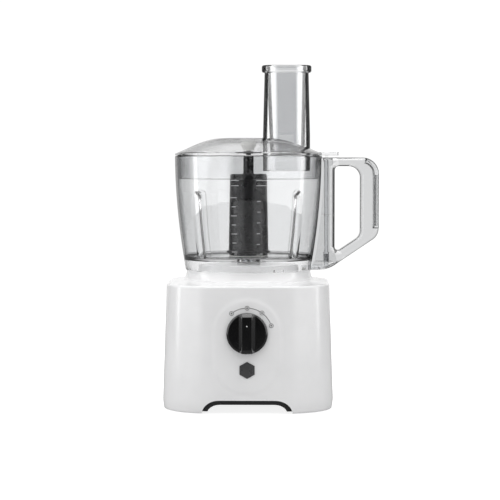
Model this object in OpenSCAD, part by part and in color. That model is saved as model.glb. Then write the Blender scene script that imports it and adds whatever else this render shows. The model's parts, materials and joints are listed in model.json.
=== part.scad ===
// Compact food processor, ready to run: motor base, clear work bowl with handle,
// drive spindle, lid with feed tube, and pusher.
// Millimetres, +Z up. The origin is on the worktop, on the axis of the drive shaft.
// The control knob faces -Y and the bowl handle points to +X.

/* [Motor base] */
// Width of the motor base at its widest
base_w = 203; // [200:1:206]
// Depth of the motor base at its widest
base_d = 194; // [192:1:198]
// How much narrower the base is at the top than at the bottom
base_taper = 9; // [6:1:12]
// Height of the deck where the neck starts
deck_z = 152.8; // [151:0.2:155]
// Corner radius of the base, seen from above
corner_r = 60; // [56:1:62]
// Wall thickness of the base housing
wall = 2.8; // [2.4:0.1:3.2]
// Height of the front and rear arches between the feet
front_arch_h = 16.3; // [15:0.1:18]
// Height of the side arches between the feet
side_arch_h = 14; // [13:0.5:15]

/* [Neck] */
// Radius at the foot of the neck
neck_foot_r = 79.5; // [79:0.5:81]
// Radius at the top of the neck, under the bowl
neck_top_r = 74.8; // [74:0.2:76]
// Height of the ledge that the bowl stands on
ledge_z = 163.4; // [162:0.2:164]
// Radius of the raised plateau inside the bowl's skirt
plateau_r = 61; // [58:1:62]

/* [Knob] */
// Height of the knob's axis on the front face
knob_z = 94.7; // [90:0.1:100]
// Radius of the knob
knob_r = 24.1; // [20:0.1:25]
// How far the grip bar stands out from the front face
knob_out = 17; // [14:0.5:18]
// Radius of the printed dial arc
dial_r = 29.5; // [28:0.5:31]

/* [Bowl] */
// Outer radius of the bowl at its rim
bowl_rim_r = 89; // [88:0.5:90]
// Outer radius of the bowl at its foot
bowl_foot_r = 76; // [76:0.5:77]
// Height of the bowl's rim
bowl_rim_z = 301; // [300:1:302]
// Height of the bowl's inside floor
bowl_floor_z = 180; // [179:1:181]
// Wall thickness of the bowl
bowl_wall = 2.5; // [2:0.1:2.8]
// Thickness of the handle from front to back
handle_t = 28; // [26:1:32]

/* [Lid] */
// Rise of the lid's dome above its rim
dome_rise = 19; // [15:0.5:20]
// Lower edge of the lid's skirt
skirt_z = 273.5; // [270:0.5:276]
// Height of the feed tube's mouth
tube_top_z = 401; // [380:1:401]
// Distance of the feed tube from the bowl's axis
tube_x = 45.9; // [45:0.1:47]

/* [Motion] */
// Travel of the safety rod when the lid is turned open
rod_travel = 2.5; // [2:0.25:2.5]

/* [Hidden] */
$fn = 48;
gap = 0.4;

// Base housing
sole_z = 1.2;
widest_z = 12;
top_edge_z = deck_z - 7.3;
top_w = base_w - base_taper;
top_d = base_d - base_taper;
front_tilt = atan(base_taper / 2 / (top_edge_z - widest_z));
plate_top_z = 16;
plate_arch_z = 10.8;
foot_pos = [70, 64];
screw_pos = [56, 78];
pad_r = 39.4;
pad_drop = 31.3;
pad_t = 0.7;
badge_drop = 42.9;

// Drive train
shaft_r = 6;
shaft_low_z = 18;
shaft_round_z = 228.4;
shaft_top_z = 244;
bearing_r = 14;
bearing_h = 8;
upper_bearing_z = 152;
pulley_z = 30.5;
pulley_h = 11;
pulley_r = 43;
pinion_r = 8;
belt_t = 1.6;
motor_x = -56;
motor_w = 66;
motor_d = 60;
bolt_x = 28;
bolt_y = 25;
stack_z = 68;
stack_h = 36;
mount_spots = [[-76, -44], [-76, 44], [-36, -44], [-36, 44]];
board_spots = [[53, -29], [83, -29], [53, 25], [83, 25]];
cord_x = 34;

// Safety interlock
rod_x = 94;
rod_r = 2.5;
rod_low_z = 167.5;
rod_top_z = 294;
plunger_x = 67;
plunger_top_z = rod_low_z - 0.3;
plunger_low_z = 141.3;
seat_z = 173.6;
rod_collar_z = 183;

// Bowl handle outline, from its corner arcs
grip_x = 157;
handle_top_z = 299;
handle_low_z = 163.6;
strut_angle = 56.1;
corner_c = [137.5, 279.5];
corner_arc_r = 19.5;
elbow_c = [141, 213.6];
elbow_r = 16;
heel_c = [84.7, 198.6];
heel_r = 35;
cover_in_r = 12.3;
cover_x = 149.8;
cover_low_z = 213.6;

// Lid
lid_z = bowl_rim_z + gap;
lid_r = bowl_rim_r;
lid_rim_t = 2.6;
lid_t = 2.4;
skirt_r = 85.2;
skirt_t = 2.3;
tube_w = 57;
tube_d = 48;
tube_corner = 20;
tube_t = 2.4;
tube_low_z = 283.5;
tube_taper = 3.8;
pusher_low_z = 300;
collar_h = 8.2;

// Drive spindle
washer_z = bowl_floor_z + 0.25;
washer_t = 0.8;
spindle_low_z = 184.2;
spindle_top_z = 280;
spindle_r = 24;
stem_r = 6.2;

// ---------- helpers ----------

// Points of an arc about c
function arc(c, r, a0, a1, n = 8) =
  [for (i = [0:n]) let (a = a0 + (a1 - a0) * i / n) [c[0] + r * cos(a), c[1] + r * sin(a)]];

// Outline of a rectangle with round corners
function round_rect(w, d, r, n = 6) = concat(
  arc([w / 2 - r, d / 2 - r], r, 0, 90, n),
  arc([r - w / 2, d / 2 - r], r, 90, 180, n),
  arc([r - w / 2, r - d / 2], r, 180, 270, n),
  arc([w / 2 - r, r - d / 2], r, 270, 360, n));

// Half depth of the base at height z
function front_y(z) = base_d / 2 - (z - widest_z) * tan(front_tilt);

// Outer radius of the bowl at height z
function bowl_r(z) =
  bowl_rim_r - (bowl_rim_r - bowl_foot_r)
  * pow(max(0, bowl_rim_z - z) / (bowl_rim_z - ledge_z - gap), 1.9);

// Height of the dome's outside at radius r
function dome_z(r) =
  lid_z + lid_rim_t + (dome_rise - lid_rim_t + 2.1)
  * pow(sin(90 * min(1, (lid_r - r) / (lid_r - 30))), 1.15);

module slab(w, d, r, h) {
  linear_extrude(height = h) polygon(round_rect(w, d, r));
}

module tube(r_out, r_in, h) {
  difference() {
    cylinder(r = r_out, h = h);
    translate([0, 0, -1]) cylinder(r = r_in, h = h + 2);
  }
}

// Four-fold copy about both centre planes
module corners(p) {
  for (sx = [-1, 1], sy = [-1, 1]) translate([sx * p[0], sy * p[1], 0]) children();
}

// Local X stays, local Y runs up the front face, local Z points out of it
module on_front(z) {
  translate([0, -front_y(z), z]) rotate([90 - front_tilt, 0, 0]) children();
}

// The same for the rear face
module on_rear(z) {
  translate([0, front_y(z), z]) rotate([front_tilt - 90, 0, 0]) children();
}

// Outline drawn in X and Z, made solid along Y about the centre plane
module side_plate(points, t) {
  rotate([90, 0, 0]) linear_extrude(height = t, center = true) polygon(points);
}

// Arch outline: flat top, elliptical ends that meet the floor upright
function arch(flat, end, h) = concat(
  [[-flat - end, -5]],
  [for (a = [180:-15:90]) [-flat + end * cos(a), h * sin(a)]],
  [for (a = [90:-15:0]) [flat + end * cos(a), h * sin(a)]],
  [[flat + end, -5]]);

// Helical spring with its axis on Z, standing on z = 0
module coil_spring(r, wire, turns, h, steps = 14, sides = 6) {
  n = turns * steps;
  function ring(i) = [for (k = [0:sides - 1]) let (
      a = 360 * i / steps, b = 360 * k / sides, q = r + wire / 2 * cos(b))
      [q * cos(a), q * sin(a), wire / 2 + (h - wire) * i / n + wire / 2 * sin(b)]];
  points = [for (i = [0:n]) each ring(i)];
  walls = [for (i = [0:n - 1], k = [0:sides - 1]) let (
      a = i * sides + k, b = i * sides + (k + 1) % sides) each
      [[a, a + sides, b], [b, a + sides, b + sides]]];
  start = [for (k = [0:sides - 1]) k];
  end = [for (k = [sides - 1:-1:0]) n * sides + k];
  polyhedron(points = points, faces = concat(walls, [start], [end]), convexity = 8);
}

// ---------- motor base ----------

// Tapered body of the housing, moved in by the given distance
module body_solid(inset) {
  low = inset > 0 ? -1 : sole_z;
  levels = [
    [low, base_w - 4, base_d - 4],
    [widest_z, base_w, base_d],
    [top_edge_z - inset, top_w, top_d],
    [deck_z - 4.9 - inset, top_w - 2, top_d - 2],
    [deck_z - 3.5 - inset, top_w - 7, top_d - 7]
  ];
  hull() {
    for (s = levels)
      translate([0, 0, s[0]])
        slab(s[1] - 2 * inset, s[2] - 2 * inset, corner_r - (base_w - s[1]) / 2 - inset, 0.1);
    translate([0, 0, deck_z - inset - 0.1]) cylinder(r = neck_foot_r - inset, h = 0.1);
  }
}

// Neck, bowl ledge, plateau and shaft collar, as one turned shell
module neck_shell() {
  drop = ledge_z - deck_z;
  flare = neck_foot_r - neck_top_r;
  outside = [for (a = [0:15:90])
    [neck_foot_r - flare * sin(a), deck_z - 0.4 + (drop + 0.4) * (1 - cos(a))]];
  rotate_extrude($fn = 96) polygon(concat(outside, [
    [neck_top_r, ledge_z], [plateau_r, ledge_z],
    [plateau_r - 0.6, ledge_z + 7], [plateau_r - 1.4, ledge_z + 7.6],
    [14, ledge_z + 7.6], [14, ledge_z + 12.6], [10, ledge_z + 12.6], [10, ledge_z + 8], [7, ledge_z + 8],
    [7, ledge_z + 4.6], [bearing_r, ledge_z + 4.6], [bearing_r, upper_bearing_z - 2],
    [bearing_r + 3, upper_bearing_z - 2], [bearing_r + 3, ledge_z + 4.6],
    [plateau_r - wall, ledge_z + 4.6], [plateau_r - wall, ledge_z - wall],
    [neck_top_r - wall, ledge_z - wall], [neck_top_r - wall, deck_z - 3], [neck_foot_r - 1, deck_z - 3]]));
}

function stadium(r) = concat(arc([0, 0], r, 0, 180, 24), arc([0, -pad_drop], r, 180, 360, 24));

module housing() {
  color("white") difference() {
    union() {
      difference() {
        union() {
          body_solid(0);
          on_front(knob_z) translate([0, 0, -1]) linear_extrude(height = 1 + pad_t) polygon(stadium(pad_r));
        }
        body_solid(wall);
        translate([0, 0, deck_z - 12]) cylinder(r = neck_top_r - wall, h = 20);
      }
      neck_shell();
      corners(screw_pos) translate([0, 0, plate_top_z + 0.2]) cylinder(r = 5, h = 34);
      corners([screw_pos[0], screw_pos[1] + 8]) translate([-1.2, -6.5, plate_top_z + 12]) cube([2.4, 13, 20]);
      translate([plunger_x, 0, deck_z - 0.8]) cylinder(r = 5.2, h = 9);
    }
    side_plate(arch(33, 20, front_arch_h), base_d + 20);
    rotate([0, 0, 90]) side_plate(arch(30, 20, side_arch_h), base_w + 20);
    on_front(knob_z) translate([0, 0, -6]) cylinder(r = 5.8, h = 10);
    on_rear(32) translate([cord_x, 0, -6]) cylinder(r = 6.6, h = 10);
    translate([plunger_x, 0, deck_z - 2]) cylinder(r = rod_r + 0.3, h = 20);
    corners(screw_pos) translate([0, 0, plate_top_z - 1]) cylinder(r = 1.9, h = 30);
  }
}

// Black tray that closes the housing from below
module base_plate() {
  w = base_w - 4 - 2 * wall - 2 * gap;
  d = base_d - 4 - 2 * wall - 2 * gap;
  color("#18181a") difference() {
    union() {
      translate([0, 0, 3]) slab(w, d, corner_r - 2 - wall - gap, plate_top_z - 3);
      cylinder(r = bearing_r + 3, h = shaft_low_z + bearing_h);
      for (p = mount_spots) translate([p[0], p[1], plate_top_z - 1]) cylinder(r = 5.5, h = 35);
      for (p = board_spots) translate([p[0], p[1], plate_top_z - 1]) cylinder(r = 4, h = 43);
    }
    side_plate(arch(32, 15, plate_arch_z), base_d + 20);
    rotate([0, 0, 90]) side_plate(arch(26, 15, plate_arch_z), base_w + 20);
    translate([0, 0, shaft_low_z]) cylinder(r = bearing_r, h = 20);
    corners(foot_pos) translate([0, 0, 6]) cylinder(r = 13, h = 20);
    corners(foot_pos) cylinder(r = 3.1, h = 20);
    corners(screw_pos) cylinder(r = 2.1, h = 30);
    corners(screw_pos) cylinder(r = 4, h = 7);
    for (i = [-3:3]) translate([motor_x + 7 * i - 1.5, -12, 0]) cube([3, 24, 30]);
    for (p = mount_spots) translate([p[0], p[1], 30]) cylinder(r = 1.6, h = 30);
    for (p = board_spots) translate([p[0], p[1], 40]) cylinder(r = 1.3, h = 30);
  }
}

module rubber_feet() {
  color("#3a3a3c") corners(foot_pos) rotate_extrude()
    polygon([[0, 1.4], [7, 0.9], [7.6, 0], [10, 0], [10.5, 2.9], [3, 2.9], [3, 6.1],
             [4.6, 6.1], [4.2, 7.4], [0, 7.4]]);
}

module base_screws() {
  color("silver") corners(screw_pos) translate([0, 0, 4.6]) difference() {
    union() {
      cylinder(r = 3.6, h = 2.3);
      cylinder(r = 1.8, h = 34);
    }
    translate([-0.5, -2.4, -1]) cube([1, 4.8, 2]);
    translate([-2.4, -0.5, -1]) cube([4.8, 1, 2]);
  }
}

// ---------- motor ----------

module stator() {
  color("#6f7276") translate([motor_x, 0, stack_z]) difference() {
    slab(motor_w, motor_d, 8, stack_h);
    translate([0, 0, -1]) cylinder(r = 19.2, h = stack_h + 2);
    corners([21, 18]) translate([-4, -6, -1]) cube([8, 12, stack_h + 2]);
    corners([bolt_x, bolt_y]) translate([0, 0, -1]) cylinder(r = 2.2, h = stack_h + 2);
  }
}

module field_coils() {
  color("#b5622e") translate([motor_x, 0, stack_z]) for (s = [-1, 1]) translate([0, s * 18, 0]) {
    for (x = [-21, 21]) translate([x - 3.6, -5.4, -6.5]) cube([7.2, 10.8, stack_h + 13]);
    for (z = [-6.5, stack_h + 0.3]) translate([-24.6, -5.4, z]) cube([49.2, 10.8, 6.2]);
  }
}

// End frame: plate with a bush seat; legs run from the plate to the stator
module motor_end(plate_z, leg_z, leg_h) {
  difference() {
    union() {
      translate([0, 0, plate_z]) slab(motor_w, motor_d, 8, 3);
      translate([0, 0, plate_z - 2.5]) cylinder(r = 9.5, h = 7.5);
      corners([bolt_x, bolt_y]) translate([0, 0, leg_z]) cylinder(r = 3.4, h = leg_h);
    }
    translate([0, 0, plate_z - 10]) cylinder(r = 6, h = 20);
    corners([bolt_x, bolt_y]) translate([0, 0, leg_z - 20]) cylinder(r = 2.2, h = leg_h + 40);
    for (s = [-1, 1]) translate([s * 19, 0, plate_z - 5]) cylinder(r = 5, h = 12);
  }
}

module lower_motor_bracket() {
  color("silver") difference() {
    union() {
      translate([motor_x, 0, 0]) motor_end(55, 58, stack_z - 58);
      for (p = mount_spots) translate([p[0] - 7, p[1] > 0 ? 29 : -51, 55]) cube([14, 22, 3]);
    }
    for (p = mount_spots) translate([p[0], p[1], 50]) cylinder(r = 2.2, h = 10);
  }
}

module upper_motor_bracket() {
  color("silver") translate([motor_x, 0, 0]) motor_end(125, stack_z + stack_h, 125 - stack_z - stack_h);
}

module motor_bushes() {
  color("#b08d57") translate([motor_x, 0, 0]) for (z = [53, 123]) translate([0, 0, z]) tube(6, 3.05, 7);
}

module brush_holders() {
  color("#2a2a2c") translate([motor_x, 0, 0]) for (a = [0, 180]) rotate([0, 0, a])
    difference() {
      translate([12, -5, 111.5]) cube([18, 10, 13.4]);
      translate([11, -3.1, 112.9]) cube([17.5, 6.2, 6.2]);
    }
}

module carbon_brushes() {
  color("#33302e") translate([motor_x, 0, 0]) for (a = [0, 180]) rotate([0, 0, a])
    translate([10.3, -3, 113]) cube([11, 6, 6]);
}

module brush_springs() {
  color("silver") translate([motor_x, 0, 116]) for (a = [0, 180]) rotate([0, 0, a])
    translate([21.4, 0, 0]) rotate([0, 90, 0]) coil_spring(2.2, 0.5, 5, 6.9, 10, 5);
}

module motor_bolts() {
  color("silver") translate([motor_x, 0, 0]) corners([bolt_x, bolt_y]) {
    translate([0, 0, 52]) cylinder(r = 2, h = 76);
    translate([0, 0, 128]) cylinder(r = 3.6, h = 3);
    translate([0, 0, 51.9]) cylinder(r = 3.6, h = 3, $fn = 6);
  }
}

module motor_grommets() {
  color("#202022") for (p = mount_spots) translate([p[0], p[1], 50]) tube(6.5, 2.1, 4.9);
}

module motor_mount_screws() {
  color("silver") for (p = mount_spots) translate([p[0], p[1], 36]) {
    cylinder(r = 1.5, h = 23);
    translate([0, 0, 22.1]) cylinder(r = 3.8, h = 2.4);
  }
}

module rotor_core() {
  color("#7a7d80") translate([motor_x, 0, stack_z]) difference() {
    cylinder(r = 18.6, h = stack_h);
    translate([0, 0, -1]) cylinder(r = 3, h = stack_h + 2);
    for (a = [0:30:330]) rotate([0, 0, a]) translate([14, -0.9, -1]) cube([6, 1.8, stack_h + 2]);
  }
}

module rotor_windings() {
  color("#b5622e") translate([motor_x, 0, 0]) for (z = [stack_z - 6, stack_z + stack_h])
    translate([0, 0, z]) tube(12, 3, 6);
}

module commutator() {
  color("#b87333") translate([motor_x, 0, 111]) difference() {
    cylinder(r = 10, h = 11);
    translate([0, 0, -1]) cylinder(r = 3, h = 13);
    for (a = [0:30:330]) rotate([0, 0, a]) translate([8.8, -0.25, -1]) cube([3, 0.5, 13]);
  }
}

module rotor_shaft() {
  color("silver") translate([motor_x, 0, 28]) cylinder(r = 3, h = 105);
}

module motor_pulley() {
  color("#c9c9cb") translate([motor_x, 0, pulley_z - 0.9]) difference() {
    rotate_extrude() polygon(concat(
      [[3, 0], [11.5, 0], [11.5, 0.8]],
      [for (i = [0:5]) each [[pinion_r - 0.6, 1.4 + 1.6 * i], [pinion_r, 2.2 + 1.6 * i]]],
      [[pinion_r - 0.6, 11.6], [11.5, 12.1], [11.5, 12.8], [3, 12.8]]));
    translate([0, 0, 6.4]) rotate([0, 90, 0]) cylinder(r = 1, h = 7);
  }
}

module cooling_fan() {
  color("#1d1d1f") translate([motor_x, 0, 44]) {
    tube(7, 3, 7);
    tube(28, 6.9, 1.2);
    for (a = [0:30:330]) rotate([0, 0, a]) translate([6.9, -0.6, 1.1]) cube([20, 1.2, 5.9]);
  }
}

// ---------- belt drive ----------

// Outline of a belt run around the large pulley at the origin and the small one
function belt_line(big, small) =
  let (a = asin((big - small) / abs(motor_x)))
  concat(arc([0, 0], big, -90 - a, 90 + a, 40), arc([motor_x, 0], small, 90 + a, 270 - a, 20));

module drive_belt() {
  color("#222224") translate([0, 0, pulley_z + 0.5]) linear_extrude(height = 10) difference() {
    polygon(belt_line(pulley_r + 0.3 + belt_t, pinion_r + 0.3 + belt_t));
    polygon(belt_line(pulley_r + 0.3, pinion_r + 0.3));
  }
}

module drive_pulley() {
  color("#d8d8d2") translate([0, 0, pulley_z]) difference() {
    rotate_extrude($fn = 96) polygon(concat(
      [[shaft_r, -2.5], [11, -2.5], [11, 3], [pulley_r - 4, 3], [pulley_r - 4, 0], [pulley_r, 0]],
      [for (i = [0:5]) each [[pulley_r, 0.9 + 1.7 * i], [pulley_r - 0.6, 1.75 + 1.7 * i]]],
      [[pulley_r, pulley_h], [pulley_r - 4, pulley_h], [pulley_r - 4, 6.5],
       [11, 6.5], [11, 12.5], [shaft_r, 12.5]]));
    for (a = [0:60:300]) rotate([0, 0, a]) translate([25, 0, -1]) cylinder(r = 9, h = 20);
  }
}

module output_shaft() {
  color("#c4c6c8") difference() {
    union() {
      translate([0, 0, shaft_low_z]) cylinder(r = shaft_r, h = shaft_round_z - shaft_low_z);
      intersection() {
        translate([0, 0, shaft_round_z - 1]) cylinder(r = shaft_r, h = shaft_top_z - shaft_round_z + 1);
        translate([-shaft_r, -2.5, shaft_round_z - 1]) cube([2 * shaft_r, 5, 30]);
      }
    }
    translate([0, 0, pulley_z + 12.9]) tube(shaft_r + 1, shaft_r - 0.8, 1);
  }
}

module pulley_circlip() {
  color("#88898b") translate([0, 0, pulley_z + 12.95]) difference() {
    tube(9, shaft_r - 0.8, 0.9);
    translate([0, -2, -1]) cube([12, 4, 3]);
  }
}

module ball_bearing(z) {
  translate([0, 0, z]) difference() {
    tube(bearing_r, shaft_r + 0.05, bearing_h);
    for (h = [-1, bearing_h - 0.8]) translate([0, 0, h]) tube(bearing_r - 2.6, shaft_r + 2.2, 1.8);
  }
}

module lower_bearing() { color("#b9bbbd") ball_bearing(shaft_low_z); }

module upper_bearing() { color("#b9bbbd") ball_bearing(upper_bearing_z); }

module shaft_seal() {
  color("#2b2b2d") rotate_extrude()
    polygon([[shaft_r + 0.1, ledge_z + 10.6], [shaft_r + 0.1, ledge_z + 12], [7.5, ledge_z + 12.6],
             [10, ledge_z + 12.6], [10, ledge_z + 8], [7.4, ledge_z + 8], [7.4, ledge_z + 10.2]]);
}

// ---------- controls and electrics ----------

module rotary_switch() {
  color("#e6e2d3") on_front(knob_z) difference() {
    union() {
      translate([-14, -13, -30]) cube([28, 26, 25]);
      translate([0, 0, -5.1]) cylinder(r = 5.5, h = 8.1);
      for (x = [-9, 0, 9]) translate([x - 2.4, -3, -38]) cube([4.8, 0.8, 8.5]);
    }
    translate([0, 0, -22]) cylinder(r = 3.3, h = 40);
  }
}

module switch_nut() {
  color("silver") on_front(knob_z) translate([0, 0, pad_t + 0.05]) difference() {
    cylinder(r = 9, h = 1.9, $fn = 6);
    translate([0, 0, -1]) cylinder(r = 5.5, h = 5);
  }
}

module circuit_board() {
  color("#2f6b45") difference() {
    translate([48, -34, 58]) cube([40, 64, 1.6]);
    for (p = board_spots) translate([p[0], p[1], 50]) cylinder(r = 1.8, h = 20);
  }
}

module board_parts() {
  color("#c8a23a") translate([0, 0, 59.6]) {
    translate([59, -25, 0]) cube([18, 10, 14]);
    translate([60, 2, 0]) cylinder(r = 6, h = 16);
    translate([76, 4, 0]) tube(7, 3, 8);
    translate([55, -11, 0]) cube([9, 5, 6]);
  }
  color("silver") translate([70, -12, 59.6]) {
    cube([14, 2, 18]);
    for (i = [0:3]) translate([4 * i, 2, 0]) cube([1.4, 6, 18]);
  }
  color("silver") for (p = board_spots) translate([p[0], p[1], 44]) {
    cylinder(r = 1.2, h = 16);
    translate([0, 0, 15.6]) cylinder(r = 2.8, h = 1.8);
  }
}

module terminal_block() {
  color("#ece8da") translate([20, 68, plate_top_z]) difference() {
    cube([24, 11, 11]);
    for (x = [6, 12, 18]) translate([x, -1, 4]) rotate([-90, 0, 0]) cylinder(r = 1.6, h = 20);
    for (x = [6, 12, 18]) translate([x, 5.5, 6]) cylinder(r = 1.8, h = 10);
  }
}

// Grommet where the mains lead enters; the lead itself is not part of the model
module cord_gland() {
  color("#1b1b1d") on_rear(32) translate([cord_x, 0, 0]) rotate_extrude()
    polygon([[3.6, -7], [8.4, -7], [8.4, -3.1], [6.5, -3.1], [6.5, 0.1],
             [9, 0.1], [8.4, 2], [6.6, 6], [3.6, 6]]);
}

module interlock_bracket() {
  color("silver") difference() {
    union() {
      translate([plunger_x - 10, 5.7, 122]) cube([20, 1.6, 26]);
      translate([plunger_x - 10, 5.7, 147]) cube([13.5, 1.6, ledge_z - wall - 147.05]);
    }
    for (x = [-6, 6]) translate([plunger_x + x, 4, 128]) rotate([-90, 0, 0]) cylinder(r = 1.4, h = 6);
  }
}

module microswitch() {
  color("#26262a") {
    translate([plunger_x - 10, -5, 124]) cube([20, 10.6, 15]);
    translate([plunger_x, 0, 138.9]) cylinder(r = 1.5, h = 2.1);
    for (x = [-7, 0, 7]) translate([plunger_x + x - 1.5, -0.4, 117]) cube([3, 0.8, 7.5]);
    for (x = [-6, 6]) translate([plunger_x + x, 5.5, 128]) rotate([-90, 0, 0]) cylinder(r = 1.3, h = 3.2);
  }
}

module interlock_plunger() {
  color("#d9d9d4") translate([plunger_x, 0, plunger_low_z]) {
    cylinder(r = rod_r, h = plunger_top_z - plunger_low_z);
    translate([0, 0, 5.7]) cylinder(r = 4.2, h = 1.5);
  }
}

module plunger_spring() {
  color("silver") translate([plunger_x, 0, 139.05]) coil_spring(3.5, 0.7, 4, 7.85);
}

// ---------- control knob and printed dial ----------

// Dial positions in degrees clockwise from the top: pulse, off, low, high
dial_steps = [-38, 0, 36, 72];

module dial_marks() {
  mark_r = 2.6;
  span = asin(mark_r / dial_r) + 0.6;
  color("#8f8f92") on_front(knob_z) translate([0, 0, pad_t + 0.02]) {
    for (a = dial_steps) rotate([0, 0, -a]) translate([0, dial_r, 0]) {
      tube(mark_r, mark_r - 0.55, 0.2);
      cylinder(r = 0.9, h = 0.2);
    }
    for (i = [0:2]) rotate([0, 0, 90 - dial_steps[i + 1] + span])
      rotate_extrude(angle = dial_steps[i + 1] - dial_steps[i] - 2 * span)
        translate([dial_r - 0.3, 0]) square([0.6, 0.2]);
  }
}

// Blank six-sided badge, point up
module front_badge() {
  color("#3c3c3e") on_front(knob_z) translate([0, -badge_drop, pad_t + 0.02])
    linear_extrude(height = 0.9)
      polygon([[0, 9.9], [8.8, 5], [8.8, -5], [0, -9.9], [-8.8, -5], [-8.8, 5]]);
}

module knob() {
  low = pad_t + 0.5;
  face = 6.6;
  color("#0c0c0d") on_front(knob_z) difference() {
    union() {
      translate([0, 0, low]) rotate_extrude($fn = 96)
        polygon([[0, 0], [knob_r, 0], [knob_r, 3.6], [knob_r - 0.8, 5],
                 [knob_r - 3, face - low], [0, face - low]]);
      intersection() {
        rotate([90, 0, 0]) linear_extrude(height = 60, center = true)
          polygon([[-9.7, face - 1], [9.7, face - 1], [5.9, knob_out], [-5.9, knob_out]]);
        rotate([90, 0, 90]) linear_extrude(height = 30, center = true)
          polygon([[-24, face - 1], [24, face - 1], [22.8, knob_out - 3],
                   [19.4, knob_out], [-19.4, knob_out], [-22.8, knob_out - 3]]);
        cylinder(r = knob_r - 0.4, h = 30, $fn = 96);
      }
    }
    translate([0, 0, -1]) cylinder(r = 3, h = 13);
    translate([0, 0, -1]) cylinder(r = 11, h = 5);
    translate([0, 9.2, knob_out - 0.3]) cylinder(r = 0.65, h = 2);
  }
}

module knob_pointer() {
  color("white") on_front(knob_z) translate([0, 9.2, knob_out - 0.3]) cylinder(r = 0.65, h = 0.3);
}

module knob_shaft() {
  color("#b9a46a") on_front(knob_z) translate([0, 0, -20]) cylinder(r = 3, h = 32);
}

// ---------- bowl ----------

module bowl_shell() {
  low = ledge_z + gap;
  steps = 12;
  wall_z = [for (i = [0:steps]) low + 1.6 + (bowl_rim_z - low - 1.6) * i / steps];
  inner_low = bowl_floor_z + 4;
  inner_z = [for (i = [0:steps]) bowl_rim_z - (bowl_rim_z - inner_low) * i / steps];
  floor_r = bowl_r(inner_low) - bowl_wall;
  rotate_extrude($fn = 96) polygon(concat(
    [[bowl_r(low) - 1.4, low]],
    [for (z = wall_z) [bowl_r(z), z]],
    [for (z = inner_z) [bowl_r(z) - bowl_wall, z]],
    arc([floor_r - 4, inner_low], 4, -15, -90, 5),
    [[14.5, bowl_floor_z], [12.4, bowl_floor_z + 2.5], [12, 222], [9.5, 222], [9.5, bowl_floor_z - 2.5],
     [bowl_r(bowl_floor_z - 2.5) - bowl_wall, bowl_floor_z - 2.5], [bowl_r(low) - bowl_wall, low]]));
}

// Solid inside the bowl's outer wall
module bowl_envelope(grow) {
  rotate_extrude($fn = 96) polygon(concat(
    [[0, ledge_z - 3]],
    [for (i = [-1:13]) let (z = ledge_z + 11.5 * i) [bowl_r(z) + grow, z]],
    [[0, ledge_z + 149.5]]));
}

// Upright rib inside the wall, following its slope
module flow_rib() {
  low = bowl_floor_z - 1;
  high = 254;
  lean = atan((bowl_r(high) - bowl_r(low)) / (high - low));
  translate([bowl_r(low) - bowl_wall + 1, 0, low]) rotate([0, lean, 0]) {
    cylinder(r = 4.8, h = (high - low) / cos(lean));
    translate([0, 0, (high - low) / cos(lean)]) sphere(r = 4.8);
  }
}

module bowl() {
  color("#dfe6ea", 0.35) difference() {
    union() {
      bowl_shell();
      intersection() {
        for (a = [45:90:315]) rotate([0, 0, a]) flow_rib();
        bowl_envelope(-0.6);
      }
      for (a = [60, 180, 300]) rotate([0, 0, a]) translate([70.8, -6, ledge_z + 0.8]) cube([4, 12, 2.6]);
    }
    translate([68, -5.2, ledge_z + 1]) cube([14, 10.4, 9.6]);
  }
}

// Measuring marks on the front of the bowl: litres on the left, cups on the right
module bowl_graduations() {
  litre_z = [for (i = [0:6]) 188.4 + 10.6 * i];
  cup_z = [for (i = [0:5]) 184.8 + 12.6 * i];
  color("#9a9ca0") {
    for (i = [0:6]) rotate([0, 0, 259.5]) graduation(litre_z[i], i % 2 == 0 ? 4.6 : 3.2);
    for (z = cup_z) rotate([0, 0, 279]) graduation(z, 2.6);
    for (a = [260.5, 281]) rotate([0, 0, a]) graduation(266, a < 270 ? 6 : 8);
    for (a = [260.5, 281]) rotate([0, 0, a]) graduation(272, a < 270 ? 6 : 8);
  }
}

module graduation(z, degrees) {
  rotate([0, 0, -degrees / 2]) rotate_extrude(angle = degrees, $fn = 96)
    translate([bowl_r(z + 0.7) + 0.05, z]) square([0.3, 0.7]);
}

// Bowl handle: bracket on the wall, top bar, grip and lower strut
function handle_outline() = concat(
  [[70, handle_top_z]],
  arc(corner_c, corner_arc_r, 90, 0, 10),
  arc(elbow_c, elbow_r, 0, -strut_angle, 6),
  arc(heel_c, heel_r, -strut_angle, -90, 6),
  [[70, handle_low_z]]);

function finger_hole() = concat(
  arc([109, 283.6], 5, 180, 90, 5),
  arc([120.5, 274.6], 14, 90, 0, 8),
  arc([122.5, 210.8], 12, 0, -strut_angle, 6),
  arc([108, 191.4], 4, -strut_angle, -180, 6));

// Outer band of the grip, which is a separate cover
function grip_band(grow) = concat(
  arc(corner_c, corner_arc_r + 4 * grow, 78, 0, 8),
  [[grip_x + 4 * grow, cover_low_z - grow], [cover_x - grow, cover_low_z - grow]],
  arc(corner_c, cover_in_r - grow, 0, 78, 8));

module bracket_cavity() {
  inner = handle_t - 5;
  difference() {
    side_plate(concat(
      [for (i = [0:5]) let (z = 168 + 25.6 * i) [bowl_r(z) + 2.4, z]],
      [[101.6, 296], [101.6, 192]],
      arc(heel_c, heel_r - 2.4, -42, -88, 5)), inner);
    for (z = [seat_z - 1.2, 229, 287]) translate([70, -handle_t / 2, z]) cube([40, handle_t, 1.2]);
  }
}

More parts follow.
